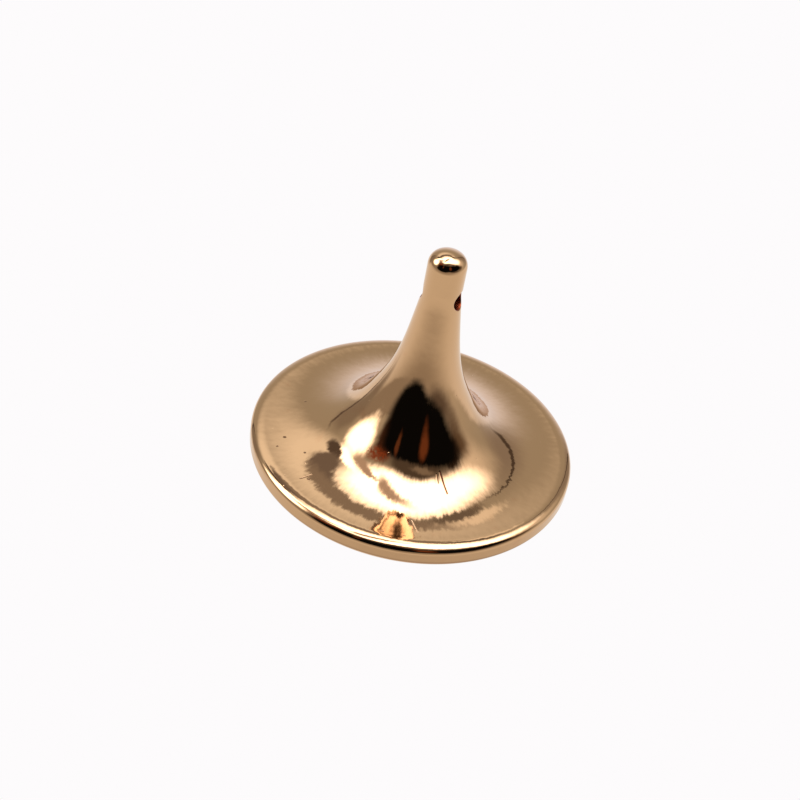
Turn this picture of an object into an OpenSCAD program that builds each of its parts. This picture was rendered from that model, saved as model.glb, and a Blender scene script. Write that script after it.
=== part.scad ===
// Hand spinning top: a thin heavy disc with a rounded rim, a trumpet-shaped
// finger stem with a cord hole near its end, and a short nose with a ball tip.
// Millimetres. +Z is the spin axis, the origin is the ball's lowest point.

/* [Disc] */
// Outer diameter of the disc
disc_d = 30; // [28:0.5:40]
// Thickness of the disc at its rim
rim_t = 2.1; // [1.8:0.1:3.5]
// Width of the broad round on the rim's upper edge
rim_top_w = 1.3; // [0.6:0.1:1.4]
// Height of that broad round
rim_top_h = 0.8; // [0.5:0.05:0.9]
// Radius of the tighter round on the rim's lower edge
rim_low_r = 0.6; // [0.2:0.05:0.6]

/* [Stem] */
// Height of the stem's end above the disc's upper face
stem_h = 21; // [17:0.5:26]
// Diameter of the stem where fingers grip it
stem_d = 3.5; // [3.3:0.1:4]
// Length of the straight grip below the domed end
grip_len = 3.1; // [2.8:0.1:3.6]
// Height of the domed end
dome_h = 1.4; // [1:0.1:1.6]
// Radius of the flare where the stem seats on the disc's hub
seat_r = 4.65; // [4:0.05:5.2]
// Height of that seat above the disc's upper face
seat_h = 5.2; // [4.4:0.1:6]
// Diameter of the cord hole through the stem
cord_hole_d = 1.8; // [1.2:0.1:2.2]

/* [Nose] */
// Height of the disc's lower face above the ground
nose_h = 10; // [8:0.5:14]
// Radius of the nose where it meets the disc
nose_r = 5.5; // [5:0.1:7]
// Diameter of the steel ball that the top spins on
ball_d = 2; // [1.6:0.1:2.4]

/* [Hidden] */

$fn = 96;
gold = [0.86, 0.62, 0.46];
steel = [0.75, 0.76, 0.78];

// Number of straight steps along one curved outline
steps = 14;
disc_r = disc_d / 2;
stem_r = stem_d / 2;
low_z = nose_h;
face_z = nose_h + rim_t;
seat_z = face_z + seat_h;
end_z = face_z + stem_h;
dome_z = end_z - dome_h;
grip_z = dome_z - grip_len;

// The stem's spigot is pressed through the hub and into the nose
spigot_r = 1.5;
spigot_depth = 4;
// The ball is pressed into the nose and shows this much of its height below it
ball_r = ball_d / 2;
ball_seat_z = 0.8 * ball_r;
lip_w = 0.35;
// The cord hole crosses the foot of the grip, turned a little from +X towards -Y
hole_turn = -14;
hole_z = grip_z;
// Overlap that keeps cuts clean
cut = 0.01;

// Lean of the flare from vertical, in degrees, at the grip, at the seat and at the lip
grip_lean = 8;
seat_lean = 29;
lip_lean = 15;
// How long each curve holds the direction it starts or ends with
grip_pull = 6;
seat_pull_up = 4;
seat_pull_down = 2.9;
foot_pull = 5.7;
nose_pull = 2.6;
nose_drop = 0.3;
lip_pull = 3.5;
// The same for the domed end and the rim's round, as a share of their width and height
dome_pull = 0.62;
rim_pull = 0.66;

function lean_dir(a) = [sin(a), -cos(a)];
function bezier(p, t) =
    p[0] * pow(1 - t, 3) + 3 * p[1] * t * pow(1 - t, 2)
    + 3 * p[2] * pow(t, 2) * (1 - t) + p[3] * pow(t, 3);
function curve(p) = [for (i = [0:steps]) bezier(p, i / steps)];
// Quarter round from a level stretch at its top left to a wall at its lower right
function quarter(left, top, w, h, pull) = curve([
    [left, top],
    [left + pull * w, top],
    [left + w, top - (1 - pull) * h],
    [left + w, top - h]
]);
function arc(centre, r, from, to) = [
    for (i = [0:steps])
        let (a = from + (to - from) * i / steps)
        centre + r * [cos(a), sin(a)]
];

// Domed end, flatter on top than a hemisphere, from the axis down to the grip
dome = quarter(0, end_z, stem_r, dome_h, dome_pull);

// Upper part of the flare, from the grip down to the seat
grip_pt = [stem_r, grip_z];
seat_pt = [seat_r, seat_z];
upper_flare = curve([
    grip_pt,
    grip_pt + grip_pull * lean_dir(grip_lean),
    seat_pt - seat_pull_up * lean_dir(seat_lean),
    seat_pt
]);

// Lower part of the flare, from the seat out to where it fades into the rim's round
foot_pt = [disc_r - rim_top_w, face_z];
lower_flare = curve([
    seat_pt,
    seat_pt + seat_pull_down * lean_dir(seat_lean),
    foot_pt - [foot_pull, 0],
    foot_pt
]);

// Underside, from the disc down to the lip round the ball
nose_pt = [nose_r, low_z];
lip_pt = [ball_r + lip_w, ball_seat_z];
nose_outline = curve([
    nose_pt,
    nose_pt - [nose_pull, nose_drop],
    lip_pt - lip_pull * lean_dir(-lip_lean),
    lip_pt
]);

// Heavy disc with a hub that rises to meet the stem
module flywheel_disc() {
    color(gold)
    difference() {
        rotate_extrude() disc_section();
        translate([0, 0, low_z - cut])
            cylinder(h = seat_z - low_z + 2 * cut, r = spigot_r);
    }
}

// Half section of the disc and hub, with a broad round above and a tight one below
module disc_section() {
    low_centre = [disc_r - rim_low_r, low_z + rim_low_r];
    polygon(concat(
        [[0, low_z], [0, seat_z]],
        lower_flare,
        quarter(foot_pt[0], face_z, rim_top_w, rim_top_h, rim_pull),
        arc(low_centre, rim_low_r, 0, -90)
    ));
}

// Trumpet-shaped stem with a domed end, a cord hole and a spigot below
module finger_stem() {
    color(gold)
    difference() {
        union() {
            rotate_extrude()
                polygon(concat([[0, seat_z]], dome, upper_flare));
            translate([0, 0, low_z - spigot_depth])
                cylinder(h = seat_z - low_z + spigot_depth + cut, r = spigot_r);
        }
        cord_hole();
    }
}

module cord_hole() {
    translate([0, 0, hole_z])
    rotate([0, 90, hole_turn])
        cylinder(h = 2 * stem_d, r = cord_hole_d / 2, center = true);
}

// Short nose with a socket above for the spigot and one below for the ball
module nose_cone() {
    color(gold)
    difference() {
        rotate_extrude()
            polygon(concat([[0, low_z]], nose_outline, [[0, ball_seat_z]]));
        translate([0, 0, low_z - spigot_depth])
            cylinder(h = spigot_depth + cut, r = spigot_r);
        translate([0, 0, ball_r]) sphere(ball_r);
    }
}

// Hard steel ball that the top spins on
module tip_ball() {
    color(steel)
    translate([0, 0, ball_r]) sphere(ball_r);
}

flywheel_disc();
finger_stem();
nose_cone();
tip_ball();
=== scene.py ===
"""Rose gold hand spinning top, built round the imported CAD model."""
import math

import bpy
from mathutils import Matrix, Vector


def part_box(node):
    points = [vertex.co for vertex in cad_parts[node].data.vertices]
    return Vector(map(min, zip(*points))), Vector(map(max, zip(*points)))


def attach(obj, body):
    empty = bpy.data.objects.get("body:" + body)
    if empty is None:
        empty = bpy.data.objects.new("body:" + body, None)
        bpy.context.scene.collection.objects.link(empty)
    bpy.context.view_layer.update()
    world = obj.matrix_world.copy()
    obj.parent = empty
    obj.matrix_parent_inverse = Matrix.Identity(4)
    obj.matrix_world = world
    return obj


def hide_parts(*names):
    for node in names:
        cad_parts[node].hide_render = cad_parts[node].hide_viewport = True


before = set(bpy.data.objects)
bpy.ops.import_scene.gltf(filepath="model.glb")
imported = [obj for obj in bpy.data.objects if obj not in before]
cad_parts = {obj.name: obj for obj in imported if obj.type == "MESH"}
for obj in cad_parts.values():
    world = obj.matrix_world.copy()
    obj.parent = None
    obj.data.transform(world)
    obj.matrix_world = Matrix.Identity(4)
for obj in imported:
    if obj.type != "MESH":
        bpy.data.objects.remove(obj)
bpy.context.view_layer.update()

# ---------------------------------------------------------------- sizes, in millimetres
MM = 0.001


def corners(node):
    """Lowest and highest corner of a CAD node, in millimetres."""
    return [[round(v / MM, 2) for v in corner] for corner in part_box(node)]


disc_low, disc_high = corners("flywheel_disc")
stem_low, stem_high = corners("finger_stem")
nose_low, nose_high = corners("nose_cone")
_, ball_high = corners("tip_ball")

DISC_R = disc_high[0]
LOW_Z = disc_low[2]
SEAT_Z = disc_high[2]
SEAT_R = stem_high[0]
END_Z = stem_high[2]
SPIGOT_Z = stem_low[2]
NOSE_R = nose_high[0]
LIP_Z = nose_low[2]
BALL_R = ball_high[0]

# Disc: rim thickness, the broad round above (width and height) and the tight one below
RIM_T = 2.1
RIM_TOP_W = 1.3
RIM_TOP_H = 0.8
RIM_LOW_R = 0.6
FACE_Z = LOW_Z + RIM_T

# Stem: straight grip under a domed end, and the spigot below the seat
STEM_R = 1.75
DOME_H = 1.4
GRIP_LEN = 3.1
GRIP_Z = END_Z - DOME_H - GRIP_LEN
SPIGOT_R = 1.5
# Height over which polishing has eased the corner between grip and flare, each way
GRIP_EASE = 0.9

# Width of the lip that holds the ball
LIP_W = 0.35

# Cord hole, turned a little from +X towards -Y, with rounded mouths
HOLE_R = 0.9
HOLE_Z = GRIP_Z
HOLE_TURN = math.radians(-14)
HOLE_EDGE = 0.12

# Lean from vertical, in degrees, of the flare at the grip and the seat, and of the nose's lip
GRIP_LEAN = 8
SEAT_LEAN = 29
LIP_LEAN = 15
# How long each curve holds the direction it starts or ends with
GRIP_PULL = 6
SEAT_PULL_UP = 4
SEAT_PULL_DOWN = 2.9
FOOT_PULL = 5.7
NOSE_PULL = 2.6
NOSE_DROP = 0.3
LIP_PULL = 3.5
# The same for the rounds, as a share of their width and height
DOME_PULL = 0.62
RIM_PULL = 0.66
EASE_PULL = 0.66

# Segments round the axis, and steps along a curve where no other number is given
SEGMENTS = 256
CURVE_STEPS = 48
# Points nearer to the axis than this close a turned mesh in one vertex
ON_AXIS = 1e-6
# Edges that bend more than this stay sharp
SHARP_DEGREES = 32


# ---------------------------------------------------------------- outlines
def lean(degrees):
    """Unit step outwards and down, leaning this far from vertical."""
    a = math.radians(degrees)
    return math.sin(a), -math.cos(a)


def along(start, step, length):
    """The point this far from start in the direction of a unit step."""
    return start[0] + length * step[0], start[1] + length * step[1]


def bezier(p0, p1, p2, p3, steps=CURVE_STEPS):
    """Cubic curve from p0 to p3, pulled towards p1 and p2."""
    points = []
    for i in range(steps + 1):
        t = i / steps
        weights = ((1 - t) ** 3, 3 * t * (1 - t) ** 2, 3 * t * t * (1 - t), t ** 3)
        points.append(tuple(
            sum(w * p[axis] for w, p in zip(weights, (p0, p1, p2, p3))) for axis in (0, 1)
        ))
    return points


def quarter(left, top, width, height, pull):
    """Quarter round from a level stretch at its top left to a wall at its lower right."""
    return bezier(
        (left, top),
        (left + pull * width, top),
        (left + width, top - (1 - pull) * height),
        (left + width, top - height),
    )


def arc(centre, radius, start, end, steps=CURVE_STEPS // 2):
    """Part of a circle between two angles in degrees."""
    points = []
    for i in range(steps + 1):
        a = math.radians(start + (end - start) * i / steps)
        points.append((centre[0] + radius * math.cos(a), centre[1] + radius * math.sin(a)))
    return points


def straight(start, end, steps):
    """Evenly spaced points from start to end, without the start itself."""
    return [
        tuple(a + (b - a) * i / steps for a, b in zip(start, end)) for i in range(1, steps + 1)
    ]


SEAT = (SEAT_R, SEAT_Z)


def dome_outline():
    """From the axis over the domed end to the grip."""
    return quarter(0, END_Z, STEM_R, DOME_H, DOME_PULL)


def upper_flare():
    """From the grip down to the seat."""
    top = (STEM_R, GRIP_Z)
    after_top = along(top, lean(GRIP_LEAN), GRIP_PULL)
    before_seat = along(SEAT, lean(SEAT_LEAN), -SEAT_PULL_UP)
    return bezier(top, after_top, before_seat, SEAT, steps=80)


def lower_flare():
    """From the seat out to the rim's broad round."""
    foot = (DISC_R - RIM_TOP_W, FACE_Z)
    after_seat = along(SEAT, lean(SEAT_LEAN), SEAT_PULL_DOWN)
    return bezier(SEAT, after_seat, (foot[0] - FOOT_PULL, foot[1]), foot, steps=110)


def eased_grip():
    """From the dome down the straight grip, over its eased lower corner and down the flare."""
    flare = [p for p in upper_flare() if p[1] < GRIP_Z - GRIP_EASE]
    start = (STEM_R, GRIP_Z + GRIP_EASE)
    end, after = flare[:2]
    length = math.dist(end, after)
    back = ((end[0] - after[0]) / length, (end[1] - after[1]) / length)
    pull = EASE_PULL * GRIP_EASE
    return (
        straight((STEM_R, END_Z - DOME_H), start, steps=40)
        + bezier(start, (start[0], start[1] - pull), along(end, back, pull), end)[1:]
        + flare[1:]
    )


def disc_outline():
    """Closed loop round the disc's section, starting on the hub's seat."""
    side_top = (DISC_R, FACE_Z - RIM_TOP_H)
    side_low = (DISC_R, LOW_Z + RIM_LOW_R)
    low_centre = (DISC_R - RIM_LOW_R, LOW_Z + RIM_LOW_R)
    low_flat = (DISC_R - RIM_LOW_R, LOW_Z)
    return (
        lower_flare()
        + quarter(DISC_R - RIM_TOP_W, FACE_Z, RIM_TOP_W, RIM_TOP_H, RIM_PULL)[1:]
        + straight(side_top, side_low, steps=6)
        + arc(low_centre, RIM_LOW_R, 0, -90)[1:]
        + straight(low_flat, (SPIGOT_R, LOW_Z), steps=40)
        + straight((SPIGOT_R, LOW_Z), (SPIGOT_R, SEAT_Z), steps=12)
        + straight((SPIGOT_R, SEAT_Z), SEAT, steps=8)[:-1]
    )


def nose_outline():
    """From the spigot's socket round the nose and up the ball's seat."""
    top = (NOSE_R, LOW_Z)
    after_top = (NOSE_R - NOSE_PULL, LOW_Z - NOSE_DROP)
    lip = (BALL_R + LIP_W, LIP_Z)
    before_lip = along(lip, lean(-LIP_LEAN), -LIP_PULL)
    seat_start = math.degrees(math.asin((LIP_Z - BALL_R) / BALL_R))
    seat_edge = (BALL_R * math.cos(math.radians(seat_start)), LIP_Z)
    return (
        [(0, SPIGOT_Z)]
        + straight((0, SPIGOT_Z), (SPIGOT_R, SPIGOT_Z), steps=6)
        + straight((SPIGOT_R, SPIGOT_Z), (SPIGOT_R, LOW_Z), steps=12)
        + straight((SPIGOT_R, LOW_Z), top, steps=10)
        + bezier(top, after_top, before_lip, lip, steps=90)[1:]
        + straight(lip, seat_edge, steps=4)
        + arc((0, BALL_R), BALL_R, seat_start, 90, steps=40)[1:]
    )


# ---------------------------------------------------------------- meshes
def finish_mesh(name, verts, faces):
    """Make a smooth-shaded object from points in millimetres."""
    mesh = bpy.data.meshes.new(name)
    mesh.from_pydata([(x * MM, y * MM, z * MM) for x, y, z in verts], [], faces)
    mesh.validate()
    mesh.shade_smooth()
    mesh.set_sharp_from_angle(angle=math.radians(SHARP_DEGREES))
    piece = bpy.data.objects.new(name, mesh)
    bpy.context.scene.collection.objects.link(piece)
    return piece


def circle(radius, height, start=0):
    """Points round +Z, the first at the start angle."""
    points = []
    for j in range(SEGMENTS):
        a = start + 2 * math.pi * j / SEGMENTS
        points.append((radius * math.cos(a), radius * math.sin(a), height))
    return points


def add_points(verts, points):
    """Add points to a mesh and return their vertex numbers."""
    first = len(verts)
    verts += points
    return list(range(first, len(verts)))


def lathe(name, outline, loop=False):
    """Turn an outline of (radius, height) points about +Z into a closed mesh."""
    verts, rings = [], []
    for radius, height in outline:
        if radius < ON_AXIS:
            rings.append(add_points(verts, [(0, 0, height)]))
        else:
            rings.append(add_points(verts, circle(radius, height)))
    pairs = list(zip(rings, rings[1:]))
    if loop:
        pairs.append((rings[-1], rings[0]))
    faces = []
    for upper, lower in pairs:
        faces += bridge(upper, lower)
    return finish_mesh(name, verts, faces)


def bridge(upper, lower):
    """Faces between two rings of vertex numbers, either of which may be one point."""
    count = max(len(upper), len(lower))
    faces = []
    for j in range(count):
        k = (j + 1) % count
        if len(upper) == 1:
            faces.append((upper[0], lower[j], lower[k]))
        elif len(lower) == 1:
            faces.append((upper[j], lower[0], upper[k]))
        else:
            faces.append((upper[j], lower[j], lower[k], upper[k]))
    return faces


# ---------------------------------------------------------------- stem with its cord hole
class StemSurface:
    """The stem's outer skin as a rule from height to radius."""

    def __init__(self):
        self.outline = dome_outline() + eased_grip()

    def radius(self, z):
        for (r0, z0), (r1, z1) in zip(self.outline, self.outline[1:]):
            if z1 <= z <= z0 and z0 > z1:
                return r0 + (r1 - r0) * (z0 - z) / (z0 - z1)
        return self.outline[-1][0]

    def point(self, angle, z):
        r = self.radius(z)
        return r * math.cos(angle), r * math.sin(angle), z


# The patch of skin round each mouth of the cord hole: half its width in segments, half its
# height, and the height of its rows
PATCH_COLUMNS = 42
PATCH_HALF = 1.5
PATCH_ROW = 0.05
# Rings across that patch, round a mouth's edge and along the bore
PATCH_RINGS = 14
EDGE_RINGS = 6
BORE_RINGS = 12


def stem_rows(skin):
    """The skin's outline above, over and below the patches, evenly spaced over them."""
    top = HOLE_Z + PATCH_HALF
    bottom = HOLE_Z - PATCH_HALF
    count = round(2 * PATCH_HALF / PATCH_ROW)
    above = [p for p in skin.outline if p[1] > top + PATCH_ROW / 2]
    patch = [(skin.radius(z), z) for z in (top - PATCH_ROW * i for i in range(count + 1))]
    below = [p for p in skin.outline if p[1] < bottom - PATCH_ROW / 2]
    return above, patch, below


def finger_stem(name):
    """The stem as one closed mesh: skin, cord hole with rounded mouths, seat and spigot."""
    skin = StemSurface()
    above, patch, below = stem_rows(skin)
    rows = above[1:] + patch + below
    rows += straight(SEAT, (SPIGOT_R, SEAT_Z), steps=8)
    rows += straight((SPIGOT_R, SEAT_Z), (SPIGOT_R, SPIGOT_Z), steps=20)
    verts = []
    crown = add_points(verts, [(0, 0, END_Z)])
    grid = [add_points(verts, circle(radius, z, HOLE_TURN)) for radius, z in rows]
    spigot_end = add_points(verts, [(0, 0, SPIGOT_Z)])
    faces = bridge(crown, grid[0])
    first = len(above) - 1
    last = first + len(patch) - 1
    for i, (upper, lower) in enumerate(zip(grid, grid[1:])):
        for j, face in enumerate(bridge(upper, lower)):
            if not (first <= i < last and in_patch(j)):
                faces.append(face)
    faces += bridge(grid[-1], spigot_end)
    mouths = []
    for side in (0, 1):
        border = patch_border(grid, first, last, side)
        mouths.append(mouth(skin, verts, faces, border, HOLE_TURN + side * math.pi))
    bore(verts, faces, *mouths)
    return finish_mesh(name, verts, faces)


def in_patch(column):
    """Whether a face in this column lies in one of the two patches."""
    half_turn = SEGMENTS // 2
    offset = (column + half_turn // 2) % half_turn - half_turn // 2
    return -PATCH_COLUMNS <= offset < PATCH_COLUMNS


def patch_border(grid, first, last, side):
    """Vertex numbers and angles round a patch, clockwise from its top as seen from outside."""
    centre = side * SEGMENTS // 2
    columns = range(-PATCH_COLUMNS, PATCH_COLUMNS + 1)
    spot = {(i, c): grid[i][(centre + c) % SEGMENTS] for i in range(first, last + 1)
            for c in columns}
    c = PATCH_COLUMNS
    path = [(first, k) for k in range(c)]
    path += [(i, c) for i in range(first, last)]
    path += [(last, k) for k in range(c, -c, -1)]
    path += [(i, -c) for i in range(last, first, -1)]
    path += [(first, k) for k in range(-c, 0)]
    return [(spot[key], key[1] * 2 * math.pi / SEGMENTS) for key in path]


def mouth(skin, verts, faces, border, facing):
    """Fill a patch with rings that close in on the hole and round its edge. Gives the last."""
    spots = [(angle, verts[number][2]) for number, angle in border]
    phis = [math.atan2(z - HOLE_Z, angle * STEM_R) for angle, z in spots]
    rings = [patch_ring(skin, spots, phis, facing, k / PATCH_RINGS)
             for k in range(1, PATCH_RINGS + 1)]
    rings += [edge_ring(skin, phis, facing, math.pi / 2 * k / EDGE_RINGS)
              for k in range(1, EDGE_RINGS + 1)]
    ring = [number for number, _ in border]
    for points in rings:
        inner = add_points(verts, points)
        faces += bridge(ring, inner)
        ring = inner
    return ring


def patch_ring(skin, spots, phis, facing, share):
    """Points on the skin, this share of the way from the patch's border to the hole's edge."""
    points = []
    for (start_angle, start_z), phi in zip(spots, phis):
        end_z = HOLE_Z + (HOLE_R + HOLE_EDGE) * math.sin(phi)
        end_angle = math.asin((HOLE_R + HOLE_EDGE) * math.cos(phi) / skin.radius(end_z))
        angle = start_angle + (end_angle - start_angle) * share
        points.append(skin.point(facing + angle, start_z + (end_z - start_z) * share))
    return points


def edge_ring(skin, phis, facing, turn):
    """Points on a mouth's rounded edge, from the skin at no turn to the bore at a right angle."""
    across = Vector((-math.sin(facing), math.cos(facing), 0))
    outward = Vector((math.cos(facing), math.sin(facing), 0))
    rho = HOLE_R + HOLE_EDGE * (1 - math.sin(turn))
    depth = HOLE_EDGE * (1 - math.cos(turn))
    points = []
    for phi in phis:
        z = HOLE_Z + rho * math.sin(phi)
        aside = rho * math.cos(phi)
        spot = outward * (math.sqrt(skin.radius(z) ** 2 - aside ** 2) - depth) + across * aside
        points.append((spot.x, spot.y, z))
    return points


def bore(verts, faces, near, far):
    """Wall of the cord hole between its two mouths."""
    opposite = [far[-k] for k in range(len(far))]
    ring = near
    for k in range(1, BORE_RINGS):
        t = k / BORE_RINGS
        wall = add_points(verts, [
            tuple(p + (q - p) * t for p, q in zip(verts[a], verts[b]))
            for a, b in zip(near, opposite)
        ])
        faces += bridge(ring, wall)
        ring = wall
    faces += bridge(ring, opposite)


# ---------------------------------------------------------------- node helper
class Net:
    """Short names for building a node tree."""

    # A mix node has sockets for every kind of data: these are its factor, colours and result
    MIX_INPUTS = (0, 6, 7)
    MIX_OUTPUT = 2

    def __init__(self, tree):
        self.tree = tree
        tree.nodes.clear()

    def node(self, kind, inputs=None, **settings):
        """A new node with its settings and its inputs, each a value or another's output."""
        made = self.tree.nodes.new(kind)
        for key, value in settings.items():
            setattr(made, key, value)
        for key, value in (inputs or {}).items():
            self.put(made.inputs[key], value)
        return made

    def put(self, socket, value):
        """Feed a socket with a value or with another node's output."""
        if isinstance(value, bpy.types.NodeSocket):
            self.tree.links.new(value, socket)
        else:
            socket.default_value = value

    def math(self, operation, a, b=0.0, c=0.0):
        return self.node("ShaderNodeMath", {0: a, 1: b, 2: c}, operation=operation).outputs[0]

    def vector(self, operation, a, b=(0, 0, 0)):
        made = self.node("ShaderNodeVectorMath", {0: a, 1: b}, operation=operation)
        return made.outputs["Value" if operation == "DOT_PRODUCT" else "Vector"]

    def scaled(self, a, factor):
        made = self.node("ShaderNodeVectorMath", {0: a, "Scale": factor}, operation="SCALE")
        return made.outputs[0]

    def xyz(self, x, y, z):
        return self.node("ShaderNodeCombineXYZ", {0: x, 1: y, 2: z}).outputs[0]

    def ramp(self, value, low, high, to_low=0.0, to_high=1.0):
        """Smooth step from to_low at low to to_high at high."""
        inputs = {"Value": value, "From Min": low, "From Max": high, "To Min": to_low,
                  "To Max": to_high}
        made = self.node("ShaderNodeMapRange", inputs, interpolation_type="SMOOTHSTEP")
        return made.outputs[0]

    def noise(self, vector, scale, detail, roughness):
        inputs = {"Vector": vector, "Scale": scale, "Detail": detail, "Roughness": roughness}
        return self.node("ShaderNodeTexNoise", inputs).outputs[0]

    def mix(self, factor, a, b):
        """Colour that goes from a to b as the factor goes from 0 to 1."""
        made = self.node("ShaderNodeMix", data_type="RGBA")
        for number, value in zip(self.MIX_INPUTS, (factor, a, b)):
            self.put(made.inputs[number], value)
        return made.outputs[self.MIX_OUTPUT]

    def distance(self, a, b):
        squares = [self.math("MULTIPLY", side, side) for side in (a, b)]
        return self.math("SQRT", self.math("ADD", *squares))

    def show(self, shader, output="ShaderNodeOutputMaterial"):
        """Join a shader to the tree's surface output."""
        self.put(self.node(output).inputs["Surface"], shader.outputs[0])


def rgb(r, g, b):
    return r, g, b, 1.0


def new_material(name):
    """An empty material and the net of its node tree."""
    material = bpy.data.materials.new(name)
    material.use_nodes = True
    return material, Net(material.node_tree)


# ---------------------------------------------------------------- metal
ROSE_GOLD = rgb(0.69, 0.45, 0.27)
RED_STAIN = rgb(0.62, 0.31, 0.16)
STEEL = rgb(0.52, 0.51, 0.50)
TARNISH = rgb(0.10, 0.03, 0.015)
SCRATCH = rgb(0.98, 0.86, 0.68)
# Dark red-brown laid on the cord hole's wall: painted shade inside the bore
BORE_PAINTED_SHADE = rgb(0.30, 0.06, 0.025)
# Heights of the surface's unevenness, and the sideways tilt of the polishing hairs
PEEL_MM = 0.02
GRAIN_MM = 0.0006
PIT_MM = 0.01
SCUFF_MM = 0.0015
HAIR_TILT = 0.085
# Noise patterns, each as scale per millimetre, detail and roughness
PEEL = (0.5, 2.0, 0.5)
GRAIN = (8.0, 3.0, 0.6)
CLOUD = (0.35, 3.0, 0.6)
SCUFFS = (9.0, 4.0, 0.65)
PITS_PER_MM = 0.7
# Stretches of those patterns, 0 to 1, over which pits, cloudiness, stain and scuffs change
PIT_EDGE = (0.02, 0.05)
CLOUDY = (0.3, 0.75)
STAINED = (0.6, 0.8)
SCUFFED = (0.3, 0.8)
# How much of the red stain shows where it is strongest
STAIN_SHARE = 0.3
# Hairs: how fine they are round the axis and along their length, and their noise
HAIRS_PER_TURN = 32.0
HAIRS_ALONG = 0.7
HAIRS = (1.0, 3.0, 0.6)
# Surface roughness, at its least and most, and what pits, marks, the bore and wear add to it
PLATING_ROUGH = (0.03, 0.07)
STEEL_ROUGH = (0.06, 0.16)
PIT_ROUGH = 0.2
MARK_ROUGH = 0.3
BORE_ROUGH = 0.25
WORN_ROUGH = 0.1
# The steel ball is worn up to this height
WORN_Z = 0.5
# A mark fades between these shares of its half width
MARK_FADE = (0.4, 1.6)
# Only points above this height are on the disc's upper side
UPPER_Z = LOW_Z + 1
# The painted shade on the bore's wall fades between these distances outside its radius
BORE_FADE = (0.01, 0.07)
# Points further from the axis than this are never on the bore's wall
BORE_REACH = STEM_R + 0.1
# Nearest distance to the axis at which a direction away from it is worked out
CLOSE_MM = 0.05


def object_mm(net):
    """Object coordinates in millimetres, with x, y, z apart."""
    position = net.scaled(net.node("ShaderNodeTexCoord").outputs["Object"], 1 / MM)
    parts = net.node("ShaderNodeSeparateXYZ", {0: position}).outputs
    return position, parts[0], parts[1], parts[2]


class Spot:
    """Where a shaded point lies: millimetres from the axis and the unit step away from it."""

    def __init__(self, net):
        self.position, self.x, self.y, self.z = object_mm(net)
        self.r = net.math("MAXIMUM", net.distance(self.x, self.y), CLOSE_MM)
        self.out_x = net.math("DIVIDE", self.x, self.r)
        self.out_y = net.math("DIVIDE", self.y, self.r)


def radial_hairs(net, spot):
    """Noise stretched from hub to rim, as hand polishing leaves it."""
    length = net.math("MULTIPLY", net.math("SUBTRACT", spot.r, spot.z), HAIRS_ALONG)
    turn = [net.math("MULTIPLY", step, HAIRS_PER_TURN) for step in (spot.out_x, spot.out_y)]
    return net.noise(net.xyz(*turn, length), *HAIRS)


def tilted_normal(net, spot, amount):
    """Surface normal rocked towards and away from the axis along each polishing hair."""
    tilt = net.math("MULTIPLY", net.math("SUBTRACT", radial_hairs(net, spot), 0.5), amount)
    step = net.xyz(net.math("MULTIPLY", spot.out_x, tilt),
                   net.math("MULTIPLY", spot.out_y, tilt), 0.0)
    step = net.node("ShaderNodeVectorTransform", {0: step}, vector_type="VECTOR",
                    convert_from="OBJECT", convert_to="WORLD").outputs[0]
    normal = net.node("ShaderNodeNewGeometry").outputs["Normal"]
    return net.vector("NORMALIZE", net.vector("ADD", normal, step))


# Small marks on the disc's face: start x, y, end x, y, half width, and how strong they are,
# above 0 for a dark mark and below 0 for a light one
FACE_MARKS = {
    "speck_far_left": (-10.5, 1.5, -10.45, 1.5, 0.09, 0.7),
    "speck_left": (-11.5, -3.8, -11.4, -3.8, 0.10, 0.8),
    "speck_left_near": (-11.9, -5.2, -11.85, -5.15, 0.08, 0.6),
    "speck_inner": (-9.3, -5.6, -9.25, -5.6, 0.08, 0.7),
    "speck_front": (-8.4, -8.8, -8.3, -8.8, 0.10, 0.7),
    "nick_front": (-9.1, -8.9, -8.2, -8.2, 0.05, 0.8),
    "crack_right": (3.0, -6.5, 4.0, -7.9, 0.08, 1.0),
    "crack_beside": (2.75, -6.75, 3.05, -7.35, 0.05, 0.9),
    "nick_rim_left": (-1.2, -13.5, -0.9, -13.5, 0.06, 0.8),
    "nick_rim_right": (0.85, -13.5, 1.05, -13.5, 0.05, 0.8),
    "scratch_front": (1.35, -11.5, 2.05, -12.7, 0.06, -0.5),
}


def mark_mask(net, spot, mark):
    """How strongly a short stroke covers a point on the upper face: its strength, or 0."""
    x0, y0, x1, y1, half, strength = mark
    length = math.hypot(x1 - x0, y1 - y0)
    ux, uy = (x1 - x0) / length, (y1 - y0) / length
    dx, dy = net.math("SUBTRACT", spot.x, x0), net.math("SUBTRACT", spot.y, y0)
    ahead = net.math("ADD", net.math("MULTIPLY", dx, ux), net.math("MULTIPLY", dy, uy))
    aside = net.math("SUBTRACT", net.math("MULTIPLY", dx, uy), net.math("MULTIPLY", dy, ux))
    past = net.math("SUBTRACT", ahead, net.math("MINIMUM", net.math("MAXIMUM", ahead, 0.0), length))
    inner, outer = [share * half for share in MARK_FADE]
    cover = net.ramp(net.distance(past, aside), inner, outer, strength, 0.0)
    return net.math("MULTIPLY", cover, net.math("GREATER_THAN", spot.z, UPPER_Z))


def face_marks(net, spot):
    """Dark specks and nicks, and light scratches, as two masks from 0 to 1."""
    dark = light = 0.0
    for mark in FACE_MARKS.values():
        mask = mark_mask(net, spot, mark)
        strength = mark[-1]
        if strength > 0:
            dark = net.math("MAXIMUM", dark, mask)
        else:
            light = net.math("MAXIMUM", light, net.math("MULTIPLY", mask, -1.0))
    return dark, light


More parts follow.
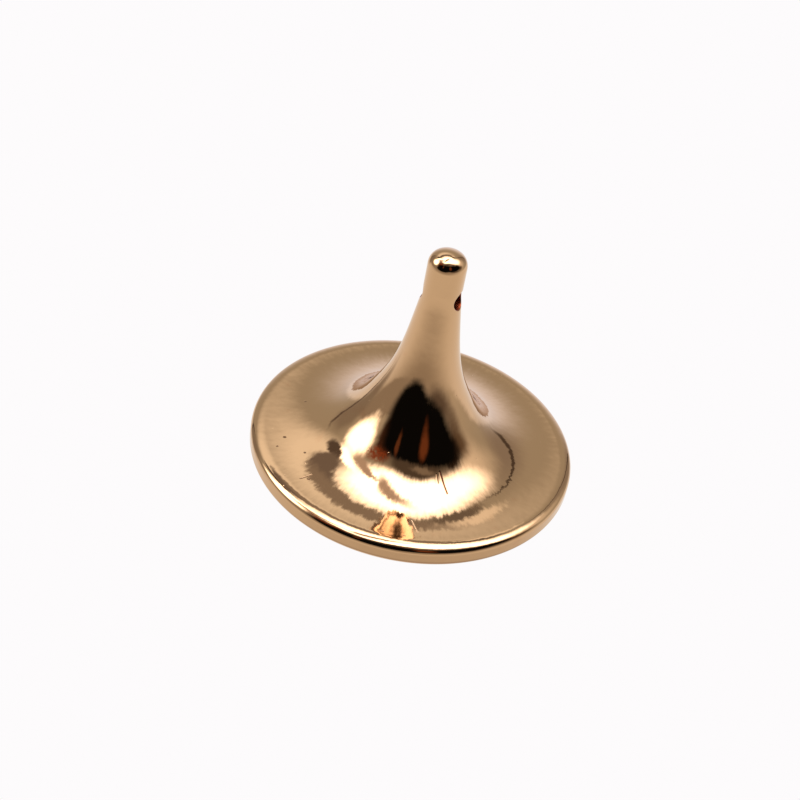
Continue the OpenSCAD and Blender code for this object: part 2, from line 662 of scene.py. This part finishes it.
def bore_mask(net, spot):
    """1 on the wall of the cord hole, 0 on the skin round it."""
    aside = net.math("SUBTRACT", net.math("MULTIPLY", spot.y, math.cos(HOLE_TURN)),
                     net.math("MULTIPLY", spot.x, math.sin(HOLE_TURN)))
    rise = net.math("SUBTRACT", spot.z, HOLE_Z)
    inner, outer = [HOLE_R + more for more in BORE_FADE]
    near = net.ramp(net.distance(aside, rise), inner, outer, 1.0, 0.0)
    return net.math("MULTIPLY", near, net.math("LESS_THAN", spot.r, BORE_REACH))


def metal(net, colour, rough, height, normal=None):
    """Polished metal with a bump height in millimetres, joined to the tree's output."""
    inputs = {"Strength": 1.0, "Distance": MM, "Height": height}
    if normal is not None:
        inputs["Normal"] = normal
    bump = net.node("ShaderNodeBump", inputs)
    net.show(net.node("ShaderNodeBsdfPrincipled", {
        "Base Color": colour, "Metallic": 1.0, "Roughness": rough, "Normal": bump.outputs[0],
    }))


def plating(name, hairs=1.0, marked=False, bored=False):
    """Bright rose gold plating with faint orange peel, polishing hairs and small pits, and painted
    shade on the cord hole's wall where bored.
    """
    material, net = new_material(name)
    spot = Spot(net)
    peel = net.noise(spot.position, *PEEL)
    grain = net.noise(spot.position, *GRAIN)
    cloud = net.noise(spot.position, *CLOUD)
    pit_spots = net.node("ShaderNodeTexVoronoi", {"Vector": spot.position, "Scale": PITS_PER_MM})
    pits = net.ramp(pit_spots.outputs["Distance"], *PIT_EDGE, 1.0, 0.0)

    height = net.math("MULTIPLY", peel, PEEL_MM)
    height = net.math("ADD", height, net.math("MULTIPLY", grain, GRAIN_MM))
    height = net.math("SUBTRACT", height, net.math("MULTIPLY", pits, PIT_MM))
    rough = net.math("ADD", net.ramp(cloud, *CLOUDY, *PLATING_ROUGH),
                     net.math("MULTIPLY", pits, PIT_ROUGH))
    stain = net.math("MULTIPLY", net.ramp(cloud, *STAINED), STAIN_SHARE)
    colour = net.mix(stain, ROSE_GOLD, RED_STAIN)
    if marked:
        dark, light = face_marks(net, spot)
        colour = net.mix(light, net.mix(dark, colour, TARNISH), SCRATCH)
        marks = net.math("ADD", dark, light)
        rough = net.math("ADD", rough, net.math("MULTIPLY", marks, MARK_ROUGH))
        height = net.math("SUBTRACT", height, net.math("MULTIPLY", dark, PIT_MM))
    if bored:
        # Painted shade: the bore's wall is coloured dark red-brown, and its roughness is raised
        wall = bore_mask(net, spot)
        colour = net.mix(wall, colour, BORE_PAINTED_SHADE)
        rough = net.math("ADD", rough, net.math("MULTIPLY", wall, BORE_ROUGH))
    metal(net, colour, rough, height, tilted_normal(net, spot, HAIR_TILT * hairs))
    return material


def ball_steel(name):
    """Hardened steel, polished, with faint rubbing marks where it runs."""
    material, net = new_material(name)
    position, _, _, z = object_mm(net)
    scuffs = net.noise(position, *SCUFFS)
    worn = net.ramp(z, WORN_Z, 0.0)
    rough = net.math("ADD", net.ramp(scuffs, *SCUFFED, *STEEL_ROUGH),
                     net.math("MULTIPLY", worn, WORN_ROUGH))
    metal(net, STEEL, rough, net.math("MULTIPLY", scuffs, SCUFF_MM))
    return material


# ---------------------------------------------------------------- the top's pieces
def add_piece(piece, node, material):
    """Let a detailed piece stand for its CAD node."""
    piece.data.materials.append(material)
    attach(piece, "root")
    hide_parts(node)


def build_top():
    """The four pieces, each with its own material."""
    disc = lathe("disc_with_hub", disc_outline(), loop=True)
    add_piece(disc, "flywheel_disc", plating("disc_plating", marked=True))
    stem = finger_stem("stem_with_cord_hole")
    add_piece(stem, "finger_stem", plating("stem_plating", hairs=0.6, bored=True))
    nose = lathe("nose_with_ball_seat", nose_outline())
    add_piece(nose, "nose_cone", plating("nose_plating", hairs=0.3))
    ball = lathe("running_ball", arc((0, BALL_R), BALL_R, 90, -90, steps=96))
    add_piece(ball, "tip_ball", ball_steel("ball_steel"))


# ---------------------------------------------------------------- studio
# Pale backdrop: its colour, and the radius of its floor, the radius and the height of its wall
BACKDROP = rgb(0.982, 0.965, 0.973)
FLOOR_R = 900
WALL_R = 1500
WALL_H = 1800


def backdrop():
    """Pale floor that sweeps up into a pale wall and closes overhead."""
    floor_edge = (FLOOR_R, 0)
    corner = (WALL_R, 0)
    wall_foot = (WALL_R, WALL_R - FLOOR_R)
    outline = [(0, 0)] + straight((0, 0), floor_edge, steps=6)
    outline += bezier(floor_edge, corner, corner, wall_foot, steps=16)[1:]
    outline += straight(wall_foot, (WALL_R, WALL_H), steps=2) + [(0, WALL_H)]
    sweep = lathe("pale_floor_and_wall", outline)
    material, net = new_material("pale_backdrop")
    net.show(net.node("ShaderNodeEmission", {"Color": BACKDROP, "Strength": 1.0}))
    sweep.data.materials.append(material)
    sweep.visible_glossy = False
    sweep.visible_diffuse = False
    sweep.visible_shadow = False


# Soft lights, flags and surroundings, each as (centre azimuth, centre elevation, half width,
# half height, softness, squareness, colour). Azimuth 0 is +Y, behind the top, and 90 is +X.
PANELS = {
    "floor_far": (0, -90, 720, 82, 0.04, 2, rgb(0.67, 0.64, 0.60)),
    "floor_near": (180, -46, 110, 60, 0.5, 2, rgb(0.57, 0.53, 0.455)),
    "own_shadow": (150, -62, 130, 18, 0.7, 2, rgb(0.36, 0.32, 0.275)),
    "floor_shade": (-168, -8, 70, 13, 0.8, 2, rgb(0.28, 0.245, 0.20)),
    "left_dusk": (-108, 2, 42, 10.5, 0.15, 2.5, rgb(0.26, 0.228, 0.19)),
    "left_shade": (-60, 5, 12, 24, 0.4, 2, rgb(0.22, 0.195, 0.165)),
    "left_line": (-50, 2, 1.2, 24, 0.4, 4, rgb(0.10, 0.08, 0.07)),
    "far_glow": (4, -4, 28, 22, 0.75, 2, rgb(0.69, 0.71, 0.80)),
    "screen_top": (-36, 50, 42, 13, 0.55, 2, rgb(0.84, 0.81, 0.73)),
    "right_shade": (38, 20, 12, 25, 0.7, 2, rgb(0.24, 0.215, 0.19)),
    "right_line": (33, 27, 1.3, 25, 0.4, 4, rgb(0.07, 0.055, 0.045)),
    "right_spill": (82, 36, 24, 20, 0.8, 2, rgb(0.70, 0.65, 0.57)),
    "overhead_box": (0, 90, 27, 27, 0.3, 2, rgb(3.2, 3.1, 3.0)),
    "right_box": (78, 64, 32, 20, 0.6, 2, rgb(3.0, 2.9, 2.8)),
    "left_box": (-95, 31, 19, 20, 0.3, 2, rgb(3.0, 2.9, 2.7)),
    "left_box_top": (-76, 54, 10, 12, 0.4, 2, rgb(3.0, 2.9, 2.7)),
    "frame_left": (-62, 47, 9, 8.5, 0.3, 2, rgb(0.09, 0.072, 0.062)),
    "frame_top": (-38, 54, 26, 5.2, 0.3, 2.5, rgb(0.16, 0.138, 0.125)),
    "frame_middle": (-8, 54, 19, 5, 0.35, 3, rgb(0.24, 0.21, 0.18)),
    "frame_glint": (15, 51.5, 7, 3, 0.5, 2, rgb(0.8, 0.75, 0.66)),
    "frame_right": (18, 57.5, 12, 3.5, 0.4, 2, rgb(0.15, 0.13, 0.11)),
    "right_flag_low": (97, 17, 15, 13, 0.6, 2, rgb(0.11, 0.08, 0.055)),
    "right_flag": (109, 32, 15, 19, 0.5, 2, rgb(0.03, 0.018, 0.013)),
    "camera_haze": (165, 50, 50, 23, 0.3, 2, rgb(0.075, 0.06, 0.048)),
    "haze_gap": (150, 57, 20, 4, 0.5, 2, rgb(0.20, 0.17, 0.14)),
    "arm": (-98, 63, 9, 15, 0.5, 2, rgb(0.45, 0.37, 0.32)),
    "zenith_arm": (-60, 83, 16, 4, 0.5, 2, rgb(0.45, 0.37, 0.32)),
    "red_card_left": (-136, 30, 15, 24, 0.35, 2, rgb(0.05, 0.022, 0.012)),
    "red_cloth": (-126, 46, 18, 9, 0.5, 2, rgb(0.20, 0.05, 0.02)),
    "camera_shade": (132, 4, 32, 8, 0.7, 2, rgb(0.10, 0.08, 0.065)),
    "camera_flag_low": (-160, 10, 38, 16, 0.25, 2, rgb(0.003, 0.003, 0.003)),
    "camera_flag": (165, 27, 66, 23, 0.14, 2.4, rgb(0.003, 0.003, 0.003)),
    "red_card_right": (157, 31, 7, 13, 0.5, 2, rgb(0.13, 0.04, 0.015)),
    "red_edge_left": (-157, 34, 3.5, 10, 0.5, 2, rgb(0.10, 0.035, 0.015)),
}
# Colour between the panels, and how bright the whole surroundings are
TAN = rgb(0.34, 0.32, 0.27)
SKY_STRENGTH = 1.38
# Degrees by which every panel's edge wavers, and the noise it follows
FRINGE_DEGREES = 1.2
FRINGE = (40.0, 3.0, 0.7)
# Panels with a rough weave, its noise, where in that noise the cloth gives way to gaps, and
# how much of the panel is left in a gap
WOVEN = ("red_cloth",)
WEAVE = (26.0, 3.0, 0.7)
WEAVE_EDGE = (0.50, 0.57)
WEAVE_GAP = 0.1
# Panels centred higher than this are measured from their own centre, since azimuth fails there
STEEP = 75


def panel_offsets(net, sky, panel):
    """Degrees across and up from a panel's centre to a direction."""
    azimuth, elevation, direction = sky
    centre, height = panel[:2]
    if height < STEEP:
        turn = net.math("WRAP", net.math("SUBTRACT", azimuth, centre), 180.0, -180.0)
        return turn, net.math("SUBTRACT", elevation, height)
    a, e = math.radians(centre), math.radians(height)
    ahead = Vector((math.sin(a) * math.cos(e), math.cos(a) * math.cos(e), math.sin(e)))
    right = Vector((math.cos(a), -math.sin(a), 0))
    parts = [net.vector("DOT_PRODUCT", direction, axis)
             for axis in (right, right.cross(ahead), ahead)]
    return [net.math("DEGREES", net.math("ARCTAN2", part, parts[2])) for part in parts[:2]]


def panel_mask(net, sky, panel):
    """How much of a panel is seen in a direction, from 0 to 1."""
    half_w, half_h, soft, square = panel[2:6]
    turn, rise = panel_offsets(net, sky, panel)
    across = net.math("ABSOLUTE", net.math("DIVIDE", turn, half_w))
    up = net.math("ABSOLUTE", net.math("DIVIDE", rise, half_h))
    total = net.math("ADD", net.math("POWER", across, square), net.math("POWER", up, square))
    reach = net.math("POWER", total, 1 / square)
    return net.ramp(reach, 1 - soft, 1 + soft, 1.0, 0.0)


def studio_light():
    """World light: large soft panels and dark flags placed by direction."""
    world = bpy.data.worlds.new("soft_studio")
    bpy.context.scene.world = world
    world.use_nodes = True
    net = Net(world.node_tree)
    direction = net.node("ShaderNodeTexCoord").outputs["Generated"]
    parts = net.node("ShaderNodeSeparateXYZ", {0: direction}).outputs
    azimuth = net.math("DEGREES", net.math("ARCTAN2", parts[0], parts[1]))
    height = net.math("MINIMUM", net.math("MAXIMUM", parts[2], -1.0), 1.0)
    elevation = net.math("DEGREES", net.math("ARCSINE", height))
    fringe = net.math("SUBTRACT", net.noise(direction, *FRINGE), 0.5)
    elevation = net.math("ADD", elevation, net.math("MULTIPLY", fringe, FRINGE_DEGREES))
    weave = net.ramp(net.noise(direction, *WEAVE), *WEAVE_EDGE, 1.0, WEAVE_GAP)
    sky = (azimuth, elevation, direction)
    colour = TAN
    for name, panel in PANELS.items():
        mask = panel_mask(net, sky, panel)
        if name in WOVEN:
            mask = net.math("MULTIPLY", mask, weave)
        colour = net.mix(mask, colour, panel[-1])
    light = net.node("ShaderNodeBackground", {"Color": colour, "Strength": SKY_STRENGTH})
    net.show(light, "ShaderNodeOutputWorld")


# Camera: distance, angles below the horizon and of roll, height of the view at the face, and
# where its centre lies, aside and above the middle of the face
CAMERA_MM = 180
CAMERA_DOWN = math.radians(39.7)
CAMERA_ROLL = math.radians(11.45)
VIEW_H = 74.143
AIM_ASIDE = -1.2
AIM_ABOVE = 3.39
SENSOR_W = 36
# Nearest and furthest distance the camera shows, in metres
CLIP_NEAR = 0.01
CLIP_FAR = 10


def camera():
    """Looks down on the disc's face from -Y, rolled a little."""
    right = Vector((1, 0, 0))
    up = Vector((0, math.sin(CAMERA_DOWN), math.cos(CAMERA_DOWN)))
    image_x = right * math.cos(CAMERA_ROLL) + up * math.sin(CAMERA_ROLL)
    image_y = up * math.cos(CAMERA_ROLL) - right * math.sin(CAMERA_ROLL)
    face = Vector((0, 0, FACE_Z))
    eye = face + CAMERA_MM * Vector((0, -math.cos(CAMERA_DOWN), math.sin(CAMERA_DOWN)))
    target = face + image_x * AIM_ASIDE + image_y * AIM_ABOVE
    back = (eye - target).normalized()
    side = image_y.cross(back).normalized()
    top = back.cross(side)
    data = bpy.data.cameras.new("camera")
    data.sensor_width = SENSOR_W
    data.lens = SENSOR_W * CAMERA_MM / VIEW_H
    data.clip_start = CLIP_NEAR
    data.clip_end = CLIP_FAR
    made = bpy.data.objects.new("camera", data)
    matrix = Matrix((side, top, back)).transposed().to_4x4()
    matrix.translation = eye * MM
    made.matrix_world = matrix
    bpy.context.scene.collection.objects.link(made)
    bpy.context.scene.camera = made


bpy.context.scene.view_settings.view_transform = "Standard"
camera()
backdrop()
studio_light()
build_top()
